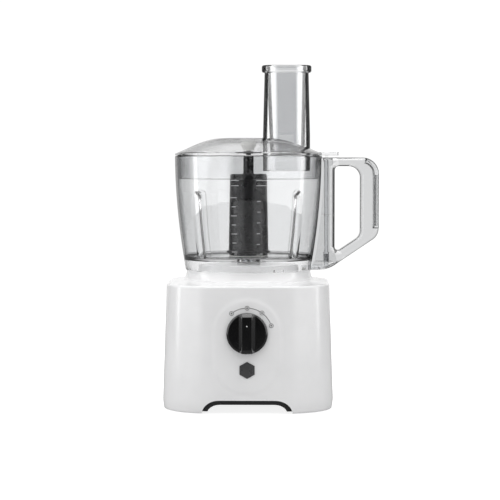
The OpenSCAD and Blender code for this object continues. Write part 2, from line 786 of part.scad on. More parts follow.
module bowl_handle() {
  inner = handle_t - 5;
  color("#e3e9ec", 0.4) difference() {
    side_plate(handle_outline(), handle_t);
    side_plate(finger_hole(), handle_t + 10);
    bowl_envelope(0.05);
    bracket_cavity();
    side_plate(grip_band(0.1), handle_t + 10);
    translate([136.9, -inner / 2, 217]) cube([14, inner, 60]);
    translate([rod_x, 0, 170]) cylinder(r = rod_r + 0.3, h = 140);
    translate([89.5, -3.4, 293.6]) cube([9, handle_t, 8]);
    translate([70, -5.2, ledge_z + 1]) cube([14, 10.4, 9]);
    translate([80, -4, rod_low_z - 0.4]) cube([17, 8, rod_travel + 2.4]);
  }
}

module handle_cover() {
  inner = handle_t - 5;
  color("#e3e9ec", 0.4) difference() {
    side_plate(grip_band(0), handle_t);
    translate([cover_x - 1, -inner / 2, 216]) cube([5.6, inner, 62]);
  }
}

module interlock_rod() {
  color("#cfd4d8", 0.6) {
    translate([rod_x, 0, rod_low_z]) cylinder(r = rod_r, h = rod_top_z - rod_low_z);
    translate([rod_x, 0, rod_collar_z]) cylinder(r = 3.6, h = 1.5);
    translate([64.3, -3.5, rod_low_z]) cube([rod_x + 2.6 - 64.3, 7, 1.8]);
  }
}

module rod_spring() {
  color("#4c4e50") translate([rod_x, 0, seat_z + 0.05]) coil_spring(3.3, 0.8, 6, rod_collar_z - seat_z - 0.1);
}

// ---------- drive spindle ----------

// Loose ring between the bowl's floor and the spindle's feet
module thrust_washer() {
  color("#e9ecee") translate([0, 0, washer_z]) tube(23.6, 15.4, washer_t);
}

module drive_spindle() {
  socket_r = shaft_r + 0.35;
  socket_low = 224;
  socket_top = 247;
  color("#101011") {
    rotate_extrude($fn = 96) polygon([
      [0, spindle_top_z + 33], [3, spindle_top_z + 33], [3, spindle_top_z + 23], [stem_r, spindle_top_z + 23],
      [stem_r, spindle_top_z], [20.8, spindle_top_z], [22.4, spindle_top_z - 1.6],
      [spindle_r, spindle_low_z + 2.8], [26.5, spindle_low_z + 2.4], [26.5, spindle_low_z],
      [spindle_r - 2.3, spindle_low_z], [20.3, spindle_top_z - 2.6], [10.5, spindle_top_z - 2.6],
      [10.5, socket_low], [socket_r, socket_low], [socket_r, socket_top], [0, socket_top]]);
    for (s = [-1, 1]) translate([-1.6, s * 5.55 - 1.15, shaft_round_z + 0.6])
      cube([3.2, 2.3, socket_top - shaft_round_z]);
    for (a = [-35:90:235]) rotate([0, 0, a]) rotate_extrude(angle = 70)
      polygon([[20.6, washer_z + washer_t + 0.25], [22.8, washer_z + washer_t + 0.25],
               [23.2, spindle_low_z + 0.5], [20.6, spindle_low_z + 0.5]]);
    for (a = [0:60:300]) rotate([0, 0, a]) translate([10, -0.8, 232]) cube([11, 1.6, 46]);
  }
}

// ---------- lid ----------

function tube_outline(shrink) = round_rect(tube_w - 2 * shrink, tube_d - 2 * shrink, tube_corner - shrink);

module lid() {
  r_steps = [for (i = [0:12]) lid_r * i / 12];
  in_steps = [for (i = [11:-1:0]) (skirt_r - skirt_t) * i / 11];
  color("#dfe6ea", 0.35) difference() {
    union() {
      rotate_extrude($fn = 96) polygon(concat(
        [for (r = r_steps) [r, dome_z(r)]],
        [[lid_r, lid_z], [skirt_r + 0.3, lid_z], [skirt_r, skirt_z], [skirt_r - skirt_t, skirt_z]],
        [for (r = in_steps) [r, dome_z(r) - lid_t]]));
      translate([86.5, -11, lid_z]) cube([22.5, 22, 4]);
      translate([92.3, 0.2, rod_top_z + 0.3]) cube([4, 4.8, lid_z - rod_top_z]);
    }
    translate([tube_x, 0, lid_z - 20]) linear_extrude(height = 60) polygon(tube_outline(-0.05));
  }
}

// Upright feed tube, welded into the lid
module feed_tube() {
  low = 326;
  color("#e3e9ec", 0.35) translate([tube_x, 0, 0]) difference() {
    union() {
      translate([0, 0, tube_low_z]) linear_extrude(height = low - tube_low_z) polygon(tube_outline(0));
      hull() {
        translate([0, 0, low - 0.2]) linear_extrude(height = 0.1) polygon(tube_outline(0));
        translate([0, 0, tube_top_z - 0.1])
          linear_extrude(height = 0.1) polygon(tube_outline(tube_taper / 2));
      }
    }
    translate([0, 0, tube_low_z - 1])
      linear_extrude(height = low - tube_low_z + 1) polygon(tube_outline(tube_t));
    hull() {
      translate([0, 0, low - 0.1]) linear_extrude(height = 0.1) polygon(tube_outline(tube_t));
      translate([0, 0, tube_top_z + 0.1])
        linear_extrude(height = 0.1) polygon(tube_outline(tube_taper / 2 + tube_t));
    }
  }
}

// Plain bearing for the tip of the spindle's stem
module lid_bushing() {
  top = dome_z(0) - lid_t - 0.3;
  color("#eceeec") rotate_extrude() polygon([
    [3.3, top - 15], [6.5, top - 15], [7.2, top - 11], [9.3, top - 6], [9.3, top], [0, top],
    [0, top - 5], [3.3, top - 5]]);
}

module pusher() {
  play = tube_taper / 2 + tube_t + 0.5;
  low_in = 7.9;
  lean = 1.2;
  top = tube_top_z + gap;
  color("#e8edf0", 0.35) translate([tube_x, 0, 0]) difference() {
    union() {
      hull() {
        translate([lean, 0, pusher_low_z]) linear_extrude(height = 0.1) polygon(tube_outline(low_in));
        translate([0, 0, top]) linear_extrude(height = 0.1) polygon(tube_outline(play));
      }
      translate([0, 0, top]) slab(tube_w + 3, tube_d + 4, 21, collar_h);
    }
    hull() {
      translate([lean, 0, pusher_low_z + 2.2]) linear_extrude(height = 0.1) polygon(tube_outline(low_in + 2));
      translate([0, 0, top + collar_h + 0.1]) linear_extrude(height = 0.1) polygon(tube_outline(play + 1.6));
    }
    difference() {
      translate([0, 0, top - 1]) slab(tube_w - 1, tube_d, 19, collar_h - 1);
      translate([0, 0, top - 2]) linear_extrude(height = collar_h + 2) polygon(tube_outline(play - 0.4));
    }
  }
}

housing();
base_plate();
rubber_feet();
base_screws();
stator();
field_coils();
lower_motor_bracket();
upper_motor_bracket();
motor_bushes();
brush_holders();
carbon_brushes();
brush_springs();
motor_bolts();
motor_grommets();
motor_mount_screws();
drive_belt();
lower_bearing();
upper_bearing();
shaft_seal();
rotary_switch();
switch_nut();
circuit_board();
board_parts();
terminal_block();
cord_gland();
interlock_bracket();
microswitch();
dial_marks();
front_badge();
knob();
knob_pointer();
knob_shaft();
drive_pulley();
output_shaft();
pulley_circlip();
rotor_core();
rotor_windings();
commutator();
rotor_shaft();
motor_pulley();
cooling_fan();
interlock_plunger();
plunger_spring();
bowl();
bowl_graduations();
bowl_handle();
handle_cover();
interlock_rod();
rod_spring();
thrust_washer();
drive_spindle();
lid();
feed_tube();
lid_bushing();
pusher();
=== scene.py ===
import json
import math

import bpy
import bmesh
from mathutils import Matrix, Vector


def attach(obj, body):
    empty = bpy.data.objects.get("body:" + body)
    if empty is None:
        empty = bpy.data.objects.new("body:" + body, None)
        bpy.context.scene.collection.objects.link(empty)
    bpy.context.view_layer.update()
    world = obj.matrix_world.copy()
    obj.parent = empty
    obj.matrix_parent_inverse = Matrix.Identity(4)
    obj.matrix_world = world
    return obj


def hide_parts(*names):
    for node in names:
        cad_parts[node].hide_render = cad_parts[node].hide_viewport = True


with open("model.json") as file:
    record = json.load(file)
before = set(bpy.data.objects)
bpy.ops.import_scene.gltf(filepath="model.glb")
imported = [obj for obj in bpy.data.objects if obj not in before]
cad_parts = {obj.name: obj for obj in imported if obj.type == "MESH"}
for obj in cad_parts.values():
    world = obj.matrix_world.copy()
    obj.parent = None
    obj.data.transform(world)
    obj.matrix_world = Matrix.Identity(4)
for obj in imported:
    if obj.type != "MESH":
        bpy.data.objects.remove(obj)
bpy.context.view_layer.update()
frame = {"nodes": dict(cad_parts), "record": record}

MM = 0.001
scene = bpy.context.scene


# ---------- mesh helpers (all lengths in millimetres) ----------

def make(name, verts, faces, material, body, sharp=32, slot=None, hides=()):
    """A piece from its points and faces, smooth shaded with sharp edges kept."""
    mesh = bpy.data.meshes.new(name)
    mesh.from_pydata([Vector(v) * MM for v in verts], [], faces)
    mesh.validate()
    piece = bpy.data.objects.new(name, mesh)
    scene.collection.objects.link(piece)
    clean(mesh)
    dress(piece, material, sharp)
    if body:
        place(piece, body, hides)
    return piece


def clean(mesh):
    """Welds doubled points and turns every face outwards."""
    bm = bmesh.new()
    bm.from_mesh(mesh)
    bmesh.ops.remove_doubles(bm, verts=bm.verts, dist=2e-6)
    bmesh.ops.recalc_face_normals(bm, faces=bm.faces)
    bm.to_mesh(mesh)
    bm.free()


def dress(piece, material, sharp):
    mesh = piece.data
    mesh.materials.clear()
    mesh.materials.append(material)
    mesh.polygons.foreach_set("use_smooth", [True] * len(mesh.polygons))
    mesh.set_sharp_from_angle(angle=math.radians(sharp))


def place(piece, body, hides):
    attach(piece, body)
    if hides:
        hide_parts(*hides)


def loft(rings, close=False):
    """Faces between rings of the same number of points, capped at both ends unless close joins them."""
    n = len(rings[0])
    verts = [p for ring in rings for p in ring]
    faces = []
    spans = len(rings) if close else len(rings) - 1
    for i in range(spans):
        a, b = i * n, ((i + 1) % len(rings)) * n
        for k in range(n):
            m = (k + 1) % n
            faces.append((a + k, a + m, b + m, b + k))
    if not close:
        faces.append(tuple(range(n))[::-1])
        faces.append(tuple((len(rings) - 1) * n + k for k in range(n)))
    return verts, faces


def lathe(profile, n=128, dent=None):
    """Turned solid from a closed (radius, height) outline. Points on the axis close it there."""
    verts, index = [], []
    for r, z in profile:
        if r < 1e-6:
            index.append([len(verts)] * n)
            verts.append((0, 0, z))
            continue
        index.append([len(verts) + k for k in range(n)])
        for k in range(n):
            a = 2 * math.pi * k / n
            q = r + (dent(a, r, z) if dent else 0)
            verts.append((q * math.cos(a), q * math.sin(a), z))
    faces = []
    for i in range(len(profile)):
        a, b = index[i], index[(i + 1) % len(profile)]
        for k in range(n):
            m = (k + 1) % n
            face = []
            for v in (a[k], a[m], b[m], b[k]):
                if v not in face:
                    face.append(v)
            if len(face) > 2:
                faces.append(tuple(face))
    return verts, faces


def circle(r, n=48):
    return [(r * math.cos(2 * math.pi * k / n), r * math.sin(2 * math.pi * k / n)) for k in range(n)]


def arc(c, r, a0, a1, n=12):
    """Points along part of a circle about c, from a0 to a1 degrees."""
    return [(c[0] + r * math.cos(math.radians(a0 + (a1 - a0) * i / n)),
             c[1] + r * math.sin(math.radians(a0 + (a1 - a0) * i / n))) for i in range(n + 1)]


def rounded(points, radii, n=4):
    """A closed outline with each corner rounded by its radius."""
    out = []
    for i, (p, r) in enumerate(zip(points, radii)):
        p = Vector(p)
        a, b = Vector(points[i - 1]), Vector(points[(i + 1) % len(points)])
        if r <= 0 or (a - p).length < 1e-6 or (b - p).length < 1e-6:
            out.append(tuple(p))
            continue
        u, v = (a - p).normalized(), (b - p).normalized()
        half = u.angle(v) / 2
        cut = min(r / max(math.tan(half), 1e-4), 0.49 * (a - p).length, 0.49 * (b - p).length)
        s, e = p + u * cut, p + v * cut
        for k in range(n + 1):
            t = k / n
            q = s * (1 - t) ** 2 + p * 2 * t * (1 - t) + e * t * t
            out.append(tuple(q))
    return out


def shrink(outline, inset):
    """A closed outline moved inwards by the given distance, outwards if negative."""
    n = len(outline)
    area = 0
    for i in range(n):
        (x0, z0), (x1, z1) = outline[i], outline[(i + 1) % n]
        area += x0 * z1 - x1 * z0
    side = 1 if area > 0 else -1
    out_ = []
    for i in range(n):
        p, a, b = Vector(outline[i]), Vector(outline[i - 1]), Vector(outline[(i + 1) % n])
        u, v = (p - a).normalized(), (b - p).normalized()
        m = Vector((-(u.y + v.y), u.x + v.x))
        m = m / max(m.length, 1e-6)
        k = 1 / max(0.4, m.dot(Vector((-u.y, u.x))))
        q = p + m * side * inset * k
        out_.append((q.x, q.y))
    return out_


def rect_ring(hw, hd, r, z, n=24, shift=0.0):
    """Ring of a rectangle with round corners."""
    pts = (arc((hw - r, hd - r), r, 0, 90, n) + arc((r - hw, hd - r), r, 90, 180, n)
           + arc((r - hw, r - hd), r, 180, 270, n) + arc((hw - r, r - hd), r, 270, 360, n))
    return [(x + shift, y, z) for x, y in pts]


def polar_ring(hw, hd, r, z, n):
    """The same outline sampled at even angles about the axis, so that rings of any shape match."""
    ring = []
    cx, cy = hw - r, hd - r
    for k in range(n):
        a = 2 * math.pi * (k + 0.5) / n
        c, s = abs(math.cos(a)), abs(math.sin(a))
        if hw * s <= cy * c:
            t = hw / c
        elif hd * c <= cx * s:
            t = hd / s
        else:
            dot = cx * c + cy * s
            t = dot + math.sqrt(max(0.0, dot * dot - cx * cx - cy * cy + r * r))
        ring.append((t * math.cos(a), t * math.sin(a), z))
    return ring


def prism(outline, y0, y1):
    """Outline in X and Z made solid along Y."""
    return loft([[(x, y0, z) for x, z in outline], [(x, y1, z) for x, z in outline]])


def tool(verts, faces):
    """A solid used to cut or join, removed after use."""
    return make("tool", verts, faces, blank, None)


def combine(piece, others, operation, material, sharp=32):
    """Joins or cuts piece with each of others, for good."""
    for other in others:
        m = piece.modifiers.new("join", "BOOLEAN")
        m.operation = operation
        m.object = other
        m.solver = "EXACT"
    dg = bpy.context.evaluated_depsgraph_get()
    mesh = bpy.data.meshes.new_from_object(piece.evaluated_get(dg))
    piece.modifiers.clear()
    piece.data = mesh
    for other in others:
        bpy.data.objects.remove(other)
    bm = bmesh.new()
    bm.from_mesh(mesh)
    bmesh.ops.remove_doubles(bm, verts=bm.verts, dist=5e-6)
    bmesh.ops.dissolve_degenerate(bm, edges=bm.edges, dist=5e-6)
    bm.to_mesh(mesh)
    bm.free()
    dress(piece, material, sharp)
    return piece


def even_normals(piece):
    """Keeps long faces flat in the shading beside small roundings."""
    piece.modifiers.new("shading", "WEIGHTED_NORMAL").keep_sharp = True


def bevel(piece, width, segments=3, angle=35):
    m = piece.modifiers.new("edge", "BEVEL")
    m.width = width * MM
    m.segments = segments
    m.limit_method = "ANGLE"
    m.angle_limit = math.radians(angle)
    m.harden_normals = False
    m.miter_outer = "MITER_ARC"


def also(piece, *materials):
    """More materials for a piece, in the slots after its first."""
    for material in materials:
        piece.data.materials.append(material)


# ---------- materials ----------

def new_material(name):
    m = bpy.data.materials.new(name)
    m.use_nodes = True
    nt = m.node_tree
    return m, nt, nt.nodes["Principled BSDF"]


def coordinates(nt):
    return nt.nodes.new("ShaderNodeTexCoord").outputs["Object"]


def noise(nt, where, scale, detail=3.0):
    n = nt.nodes.new("ShaderNodeTexNoise")
    n.inputs["Scale"].default_value = scale
    n.inputs["Detail"].default_value = detail
    n.inputs["Roughness"].default_value = 0.55
    nt.links.new(where, n.inputs["Vector"])
    return n.outputs["Fac"]


def spread(nt, source, low, high, a=0.3, b=0.7):
    """The source's range a to b brought to low to high."""
    n = nt.nodes.new("ShaderNodeMapRange")
    n.inputs["From Min"].default_value = a
    n.inputs["From Max"].default_value = b
    n.inputs["To Min"].default_value = low
    n.inputs["To Max"].default_value = high
    nt.links.new(source, n.inputs["Value"])
    return n.outputs["Result"]


def maths(nt, operation, *sources):
    n = nt.nodes.new("ShaderNodeMath")
    n.operation = operation
    for i, source in enumerate(sources):
        nt.links.new(source, n.inputs[i])
    return n.outputs[0]


def two_tone(nt, source, dark, light, a=0.3, b=0.7):
    n = nt.nodes.new("ShaderNodeValToRGB")
    n.color_ramp.elements[0].position = a
    n.color_ramp.elements[1].position = b
    n.color_ramp.elements[0].color = (*dark, 1)
    n.color_ramp.elements[1].color = (*light, 1)
    nt.links.new(source, n.inputs["Fac"])
    return n.outputs["Color"]


def bump(nt, shader, height, strength, distance):
    n = nt.nodes.new("ShaderNodeBump")
    n.inputs["Strength"].default_value = strength
    n.inputs["Distance"].default_value = distance
    nt.links.new(height, n.inputs["Height"])
    nt.links.new(n.outputs["Normal"], shader.inputs["Normal"])


def plastic(name, dark, light, rough, grain, strength, depth=0.0001, coat=0.0, cloud=25, specular=0.5):
    """Moulded or finished surface: clouded colour, uneven gloss and a fine grain."""
    m, nt, s = new_material(name)
    where = coordinates(nt)
    nt.links.new(two_tone(nt, noise(nt, where, cloud), dark, light), s.inputs["Base Color"])
    nt.links.new(spread(nt, noise(nt, where, cloud * 3, 5), *rough), s.inputs["Roughness"])
    bump(nt, s, noise(nt, where, grain, 4), strength, depth)
    s.inputs["Coat Weight"].default_value = coat
    s.inputs["Coat Roughness"].default_value = 0.08
    s.inputs["Specular IOR Level"].default_value = specular
    return m


def brushed(name, dark, light, rough, stretch):
    """Metal with fine lines drawn along one axis."""
    m, nt, s = new_material(name)
    where = coordinates(nt)
    scale = nt.nodes.new("ShaderNodeMapping")
    scale.inputs["Scale"].default_value = stretch
    nt.links.new(where, scale.inputs["Vector"])
    lines = noise(nt, scale.outputs["Vector"], 60, 4)
    nt.links.new(two_tone(nt, lines, dark, light), s.inputs["Base Color"])
    nt.links.new(spread(nt, lines, *rough), s.inputs["Roughness"])
    bump(nt, s, lines, 0.1, 0.0001)
    s.inputs["Metallic"].default_value = 1.0
    return m


def clear(name, tint, edge, start, end, wave, face=None):
    """Clear moulded plastic with slight waves and painted shade: its tint turns to the darker edge colour
    where it is seen edge on, in place of the dark surroundings bent through and mirrored in the wall.

    Start and end say how far round the turn begins and is complete. Face paints shade on only what is seen
    flat on.
    Light reaches through it to what lies in its shadow."""
    m, nt, s = new_material(name)
    where = coordinates(nt)
    facing = nt.nodes.new("ShaderNodeLayerWeight")
    facing.inputs["Blend"].default_value = 0.5
    # painted shade: the tint darkens towards edge where the surface is seen edge on
    tint_with_painted_shade = two_tone(nt, facing.outputs["Facing"], tint, edge, start, end)
    # painted shade on what is seen flat on, which leaves the turned corners looking brighter
    if face:
        flat = two_tone(nt, facing.outputs["Facing"], face, (1, 1, 1), 0.01, 0.06)
        both = nt.nodes.new("ShaderNodeMix")
        both.data_type = "RGBA"
        both.blend_type = "MULTIPLY"
        both.inputs["Factor"].default_value = 1.0
        nt.links.new(tint_with_painted_shade, both.inputs["A"])
        nt.links.new(flat, both.inputs["B"])
        tint_with_painted_shade = both.outputs["Result"]
    nt.links.new(tint_with_painted_shade, s.inputs["Base Color"])
    nt.links.new(spread(nt, noise(nt, where, 45, 4), 0.0, 0.03), s.inputs["Roughness"])
    bump(nt, s, noise(nt, where, 28, 2), wave, 0.0006)
    s.inputs["Transmission Weight"].default_value = 1.0
    s.inputs["IOR"].default_value = 1.49
    path = nt.nodes.new("ShaderNodeLightPath")
    shadow = nt.nodes.new("ShaderNodeBsdfTransparent")
    shadow.inputs["Color"].default_value = (0.98, 0.98, 0.98, 1)
    mix = nt.nodes.new("ShaderNodeMixShader")
    out = nt.nodes["Material Output"]
    nt.links.new(path.outputs["Is Shadow Ray"], mix.inputs[0])
    nt.links.new(s.outputs["BSDF"], mix.inputs[1])
    nt.links.new(shadow.outputs["BSDF"], mix.inputs[2])
    nt.links.new(mix.outputs["Shader"], out.inputs["Surface"])
    return m


blank = bpy.data.materials.new("blank")
plastics = {
    # name: dark, light, roughness, grain, bump strength, bump depth, coat, cloud, specular
    "white_shell": ((0.80, 0.80, 0.805), (0.84, 0.84, 0.845), (0.16, 0.24), 700, 0.04, 0.0001, 0.15, 25,
                    0.35),
    "black_tray": ((0.012, 0.012, 0.013), (0.02, 0.02, 0.021), (0.4, 0.55), 1500, 0.3, 0.0002),
    "gloss_black": ((0.0035, 0.0035, 0.004), (0.006, 0.006, 0.006), (0.1, 0.2), 900, 0.03, 0.0001, 0.3),
    "spindle_black": ((0.006, 0.006, 0.0065), (0.011, 0.011, 0.012), (0.22, 0.34), 900, 0.06),
    "rubber": ((0.02, 0.02, 0.021), (0.035, 0.035, 0.036), (0.7, 0.85), 1100, 0.4, 0.0003),
    "acetal": ((0.7, 0.7, 0.68), (0.78, 0.78, 0.76), (0.3, 0.42), 900, 0.1),
    "switch_cream": ((0.68, 0.65, 0.55), (0.76, 0.73, 0.63), (0.4, 0.5), 900, 0.1),
    "circuit_green": ((0.03, 0.16, 0.07), (0.05, 0.22, 0.1), (0.3, 0.5), 500, 0.3, 0.0002, 0.0, 180),
    "component": ((0.45, 0.28, 0.05), (0.6, 0.4, 0.08), (0.35, 0.5), 700, 0.1, 0.0001, 0.0, 120),
    "carbon": ((0.02, 0.019, 0.018), (0.04, 0.037, 0.034), (0.6, 0.8), 1500, 0.4, 0.0003),
    "print_grey": ((0.018, 0.018, 0.019), (0.03, 0.03, 0.031), (0.4, 0.5), 1800, 0.1, 0.00005),
    "print_silver": ((0.42, 0.42, 0.43), (0.52, 0.52, 0.53), (0.4, 0.5), 1800, 0.1, 0.00005),
    "print_white": ((0.85, 0.85, 0.85), (0.93, 0.93, 0.93), (0.4, 0.5), 1800, 0.1, 0.00005),
    "badge_grey": ((0.04, 0.04, 0.042), (0.06, 0.06, 0.062), (0.25, 0.35), 1200, 0.08, 0.0001, 0.3)}
metals = {
    # name: dark, light, roughness, stretch of the lines along each axis
    "steel": ((0.5, 0.51, 0.53), (0.66, 0.67, 0.69), (0.2, 0.35), (1, 1, 12)),
    "zinc_steel": ((0.6, 0.6, 0.62), (0.76, 0.77, 0.79), (0.28, 0.42), (4, 4, 4)),
    "laminations": ((0.2, 0.21, 0.22), (0.34, 0.35, 0.37), (0.35, 0.5), (1, 1, 40)),
    "aluminium": ((0.62, 0.63, 0.64), (0.76, 0.77, 0.78), (0.35, 0.5), (6, 6, 6)),
    "bronze": ((0.42, 0.29, 0.14), (0.58, 0.43, 0.23), (0.35, 0.5), (5, 5, 5)),
    "copper": ((0.5, 0.2, 0.08), (0.68, 0.33, 0.16), (0.25, 0.4), (2, 2, 30)),
    "spring_steel": ((0.2, 0.2, 0.21), (0.36, 0.37, 0.38), (0.25, 0.35), (8, 8, 8))}
slot_material = {name: plastic(name, *look) for name, look in plastics.items()}
slot_material.update({name: brushed(name, *look) for name, look in metals.items()})
white_shell, gloss_black = slot_material["white_shell"], slot_material["gloss_black"]
spindle_black = slot_material["spindle_black"]
# Copies of one clear plastic. Each has its own tint, set lighter or darker for how bright its piece looks,
# and a dark edge colour: painted light and shade in place of the surroundings seen through and in the clear
# walls.
clear_wall = clear("clear_wall", (0.84, 0.845, 0.85), (0.001, 0.001, 0.0011), 0.66, 0.84, wave=0.25)
# painted shade: the feed tube is darker where seen flat on and nearly black edge on, so its corners look
# brighter
clear_tube = clear("clear_tube", (0.98, 0.982, 0.985), (0.0003, 0.0003, 0.00032), 0.4, 0.6, wave=0.12,
                   face=(0.9, 0.902, 0.905))
clear_lid = clear("clear_lid", (0.97, 0.972, 0.975), (0.08, 0.08, 0.082), 0.7, 1.0, wave=0.25)
# painted shade: the grip gets a darker grey tint than the wall
clear_grip = clear("clear_grip", (0.68, 0.685, 0.69), (0.005, 0.005, 0.0052), 0.35, 0.75, wave=0.3)
# painted shade: a near black copy of the clear plastic that draws a dark line along the side of the finger
# hole
clear_side_painted_shade = clear("clear_side_painted_shade", (0.1, 0.101, 0.102), (0.001, 0.001, 0.0011), 0.3, 0.7, wave=0.1)
clear_bracket = clear("clear_bracket", (0.91, 0.912, 0.915), (0.005, 0.005, 0.0052), 0.45, 0.8, wave=0.25)
# painted shade: a dark copy of the clear plastic that draws dark lines along the rim tops, the corner of the
# bowl's floor and the lid skirt's lower edge
clear_edge_painted_shade = clear("clear_edge_painted_shade", (0.3, 0.302, 0.305), (0.02, 0.02, 0.021), 0.4, 0.8, wave=0.1)
clear_flat = clear("clear_flat", (0.97, 0.972, 0.975), (0.8, 0.805, 0.81), 0.6, 1.0, wave=0.2)
clear_rod = clear("clear_rod", (0.8, 0.81, 0.82), (0.12, 0.12, 0.13), 0.55, 0.9, wave=0.3)
slot_material["clear_plastic"] = clear_wall


# ---------- every CAD node gets its finish ----------

for part in frame["record"]["subparts"]:
    node = frame["nodes"][part["node"]]
    node.data.materials.clear()
    node.data.materials.append(slot_material[part["material_slot"]])
frame["nodes"]["interlock_rod"].data.materials[0] = clear_rod

# ---------- motor base ----------

TILT = math.atan(4.5 / 133.5)       # the walls lean in towards the top
FOOT_Z, FOOT_DEPTH = 12, 97         # where the lean starts, and half the depth there
KNOB_Z = 94.7
BADGE_DROP = 31.3                   # lower end of the raised panel's middle line, below the knob's axis
PANEL_R, PANEL_H, PANEL_FADE = 39.4, 0.7, 1.8
NECK_R, NECK_Z, EDGE_Z = 79.5, 152.4, 146.9
CORD_X, CORD_Z = 34.0, 32


def on_front(x, y, z):
    """Point given across, up and out of the front face, about the knob's axis."""
    c, s = math.cos(TILT), math.sin(TILT)
    depth = FOOT_DEPTH - (KNOB_Z - FOOT_Z) * math.tan(TILT)
    return (x, -depth + s * y - c * z, KNOB_Z + c * y + s * z)


def raised(x, y, z):
    """The front face stands a little proud inside a stadium round the knob and badge."""
    if y > -60 or not 14 < z < 142:
        return 0.0
    v = (z - KNOB_Z) / math.cos(TILT)
    off = math.hypot(x, v - min(0.0, max(-BADGE_DROP, v))) - PANEL_R
    t = min(1.0, max(0.0, (PANEL_FADE - off) / (2 * PANEL_FADE)))
    return PANEL_H * t * t * (3 - 2 * t)


def build_base():
    # Each ring is half width, half depth, corner radius and height, from the collar down and back up inside.
    top = rounded([(10, 169), (10, 176), (14, 176), (14, 171), (59.8, 171), (61, 163.5), (74.8, 163.5),
                   (77, 155)], [0, 0.5, 0.6, 0.8, 1.0, 0.6, 0.9, 0], 3)[:-1]
    rings = [(r, r, r, z) for r, z in top]
    for a in range(80, -1, -8):                     # hollow curve of the neck
        w = math.radians(a)
        r = NECK_R - 4.7 * math.sin(w)
        rings.append((r, r, r, NECK_Z + 11 * (1 - math.cos(w))))
    for i in range(1, 9):                           # shoulder, from round to square
        t = i / 8
        rings.append((NECK_R + 14.85 * t, NECK_R + 10.35 * t, NECK_R - 26.3 * t, NECK_Z - 2.9 * t ** 1.4))
    for a in range(15, 91, 15):                     # rounded upper edge
        w = math.radians(a)
        rings.append((94.35 + 2.6 * math.sin(w), 89.85 + 2.6 * math.sin(w), 53.2 + 2.3 * math.sin(w),
                      EDGE_Z + 2.6 * math.cos(w)))
    for i in range(1, 63):                          # walls
        z = EDGE_Z - 134.9 * i / 62
        k = (143 - z) * math.tan(TILT)
        rings.append((97.08 + k, 92.58 + k, 55.6 + k, z))
    rings += [(101.4, 96.9, 59.9, 9), (101.2, 96.7, 59.7, 5), (100.9, 96.4, 59.4, 2.6),
              (100.5, 96, 59, 1.6), (99.9, 95.4, 58.4, 1.2), (97.2, 92.7, 55.7, 1.2),
              (96.7, 92.2, 55.2, 1.8), (98.6, 94.1, 57.1, 12), (94.4, 89.9, 52.8, 138),
              (88, 83.5, 48, 146.4), (76, 76, 76, 149.4), (72, 72, 72, 150), (72, 72, 72, 160.6),
              (58, 58, 58, 160.6), (58, 58, 58, 168), (10, 10, 10, 168)]
    loops = []
    for hw, hd, r, z in rings:
        ring = polar_ring(hw, hd, r, z, 360)
        loops.append([(x, y - raised(x, y, z), q) for x, y, q in ring])
    body = tool(*loft(loops, close=True))
    cutters = []
    for flat, end, high, sideways in ((33, 20, 16.3, False), (30, 20, 14, True)):
        outline = [(-flat - end, -8)]
        for x, angles in ((-flat, range(180, 89, -6)), (flat, range(90, -1, -6))):
            for w in map(math.radians, angles):
                outline.append((x + end * math.cos(w), high * math.sin(w)))
        outline.append((flat + end, -8))
        verts, faces = prism(outline, -130, 130)
        if sideways:
            verts = [(y, x, z) for x, y, z in verts]
        cutters.append(tool(verts, faces))
    cutters.append(tool(*loft([[on_front(x, y, h) for x, y in circle(5.8)] for h in (-6, 6)])))
    cutters.append(tool(*loft([[(CORD_X + x, y, CORD_Z + z) for x, z in circle(6.6)] for y in (85, 105)])))
    verts, faces = lathe([(0, 145), (2.8, 145), (2.8, 172), (0, 172)], 32)
    cutters.append(tool([(x + 67, y, z) for x, y, z in verts], faces))
    combine(body, cutters, "DIFFERENCE", white_shell, 38)
    body.name = "base_shell"
    bevel(body, 0.5, 2, 60)
    even_normals(body)
    place(body, "base", ["housing"])


# ---------- knob ----------

def turned_on_front(profile, n, up=0.0):
    """A turned solid with its axis standing out of the front face."""
    verts, faces = lathe(profile, n)
    return tool([on_front(x, y + up, z) for x, y, z in verts], faces)


def build_knob():
    low, face, top = 1.2, 6.6, 17.0
    disc = rounded([(0, low), (24.1, low), (24.1, 5.3), (22.1, face), (0, face)], [0, 0.5, 1.2, 1.6, 0], 4)
    knob = turned_on_front(disc, 128)
    levels = [(9.9, 30, 3.5), (9.7, 24.2, face - 0.4), (8.9, 23.8, face + 1.4), (6.9, 22.9, top - 3.2),
              (6.3, 20.9, top - 1.3), (5.8, 19.5, top - 0.2), (5.2, 18.6, top)]
    bar = tool(*loft([[on_front(*p) for p in rect_ring(w, long, 1.1, h, 5)] for w, long, h in levels]))
    combine(bar, [turned_on_front([(0, 2), (23.5, 2), (23.5, 30), (0, 30)], 128)], "INTERSECT", gloss_black)
    combine(knob, [bar], "UNION", gloss_black)
    hole = turned_on_front([(0, -2), (11, -2), (11, 4), (3, 4), (3, 12), (0, 12)], 48)
    dot = turned_on_front([(0, 16.75), (0.65, 16.75), (0.65, 20), (0, 20)], 24, 9.2)
    combine(knob, [hole, dot], "DIFFERENCE", gloss_black, 30)
    knob.name = "control_knob"
    bevel(knob, 0.45, 3, 30)
    even_normals(knob)
    place(knob, "knob", ["knob"])


# ---------- bowl with its handle ----------

BOWL_R, BOWL_TOP, BOWL_LOW, WALL = 89, 301, 163.8, 2.5
FLOOR_Z = 180
GRIP_AT, HEEL_AT = (137.5, 279.5), (84.7, 198.6)    # centres of the handle's outer and lower roundings
HOLE_SLOPE = -56.1                                  # degrees, the turn into the slanting strut
ROD_X = 94


def bowl_r(z):
    """Outer radius of the bowl at a height."""
    return BOWL_R - 13 * (max(0.0, BOWL_TOP - z) / 137.2) ** 1.9


